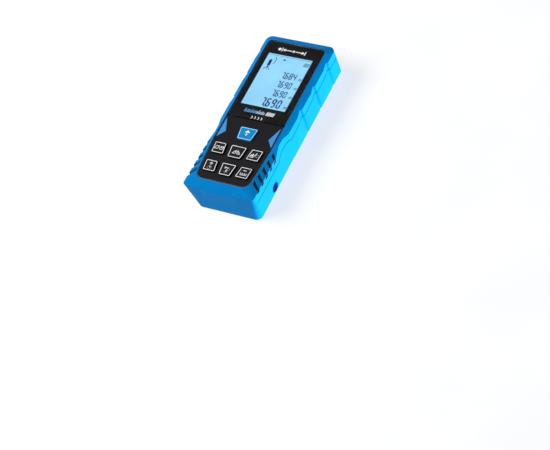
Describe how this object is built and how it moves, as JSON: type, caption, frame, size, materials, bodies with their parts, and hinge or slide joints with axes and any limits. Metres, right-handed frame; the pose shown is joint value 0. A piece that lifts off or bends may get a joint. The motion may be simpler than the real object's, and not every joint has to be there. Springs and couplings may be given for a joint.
{
  "type": "laser distance meter",
  "caption": "Pocket laser distance meter: long blue casing with a glossy black display window, a trapezoid keypad, grip slots low on the sides and a tripod socket in the back.",
  "frame": {"origin": "centre of the back face, under the middle of the casing's outline", "axes": "+Z out of the display, +Y towards the end that the laser leaves by, +X to the right of the display"},
  "size_m": [0.053, 0.1248, 0.0268],
  "materials": {
    "accent_blue": "smooth",
    "battery_jacket": "plain jacket over a steel can",
    "bezel_black": "fine matte texture",
    "brass": "turned",
    "casing_blue": "satin moulded casing",
    "chassis_black": "glass filled",
    "chip_black": "moulded epoxy",
    "circuit_board": "solder resist",
    "clear_acrylic": "polished clear acrylic",
    "connector_rubber": "matte",
    "diode_metal": "plated can",
    "foam_black": "closed-cell foam",
    "frame_white": "satin",
    "grip_rubber": "matte moulded rubber",
    "key_blue": "matte silicone with printed outline",
    "key_rubber": "matte silicone with printed outlines",
    "label_black": "blank satin film",
    "lcd": "lit light blue",
    "lens_glass": "polished",
    "light_guide": "diffusing",
    "mask_black": "printed black film",
    "nickel_plate": "nickel plated",
    "receiver_filter": "polished filter",
    "screw_steel": "zinc plated",
    "spring_steel": "bright"
  },
  "bodies": {
    "casing": {"accent_left": "accent_blue", "accent_right": "accent_blue", "battery_cell_1": "battery_jacket", "battery_cell_2": "battery_jacket", "battery_cell_3": "battery_jacket", "board_screws": "screw_steel", "buzzer": "chip_black", "casing_screws": "screw_steel", "collimator_lens": "lens_glass", "contact_plates": "nickel_plate", "contact_springs": "spring_steel", "display_lens": "clear_acrylic", "display_mask": "mask_black", "end_bezel": "bezel_black", "front_shell": "casing_blue", "grip_insert_left": "grip_rubber", "grip_insert_right": "grip_rubber", "keypad_bezel": "bezel_black", "keypad_mat": "key_rubber", "laser_barrel": "brass", "laser_diode": "diode_metal", "laser_window": "lens_glass", "lcd_backlight": "light_guide", "lcd_connector": "connector_rubber", "lcd_frame": "frame_white", "lcd_glass": "lcd", "main_board": "circuit_board", "optics_chassis": "chassis_black", "optics_screws": "screw_steel", "photodiode": "diode_metal", "processor_chip": "chip_black", "rear_label": "label_black", "rear_shell": "casing_blue", "receiver_board": "circuit_board", "receiver_lens": "lens_glass", "receiver_window": "receiver_filter", "snap_domes": "spring_steel", "tripod_insert": "brass"},
    "battery_cover": {"battery_cover": "casing_blue", "cover_pad": "foam_black"},
    "ok_key": {"ok_key": "key_blue"},
    "area_key": {"area_key": "key_rubber"},
    "pythagoras_key": {"pythagoras_key": "key_rubber"},
    "function_key": {"function_key": "key_rubber"},
    "plus_key": {"plus_key": "key_rubber"},
    "clear_key": {"clear_key": "key_rubber"},
    "minus_key": {"minus_key": "key_rubber"}
  },
  "joints": [
    {"name": "ok_key_press", "type": "slide", "parent": "casing", "child": "ok_key", "axis": [0, 0, -1], "range_m": [0, 0.0006], "stiffness_N_per_m": 600},
    {"name": "area_key_press", "type": "slide", "parent": "casing", "child": "area_key", "axis": [0, 0, -1], "range_m": [0, 0.0006], "stiffness_N_per_m": 600},
    {"name": "pythagoras_key_press", "type": "slide", "parent": "casing", "child": "pythagoras_key", "axis": [0, 0, -1], "range_m": [0, 0.0006], "stiffness_N_per_m": 600},
    {"name": "function_key_press", "type": "slide", "parent": "casing", "child": "function_key", "axis": [0, 0, -1], "range_m": [0, 0.0006], "stiffness_N_per_m": 600},
    {"name": "plus_key_press", "type": "slide", "parent": "casing", "child": "plus_key", "axis": [0, 0, -1], "range_m": [0, 0.0006], "stiffness_N_per_m": 600},
    {"name": "clear_key_press", "type": "slide", "parent": "casing", "child": "clear_key", "axis": [0, 0, -1], "range_m": [0, 0.0006], "stiffness_N_per_m": 600},
    {"name": "minus_key_press", "type": "slide", "parent": "casing", "child": "minus_key", "axis": [0, 0, -1], "range_m": [0, 0.0006], "stiffness_N_per_m": 600},
    {"name": "battery_cover_hinge", "type": "hinge", "parent": "casing", "child": "battery_cover", "pos_m": [0, -0.0543, 0.00015], "axis": [-1, 0, 0], "range_deg": [0, 80]}
  ]
}
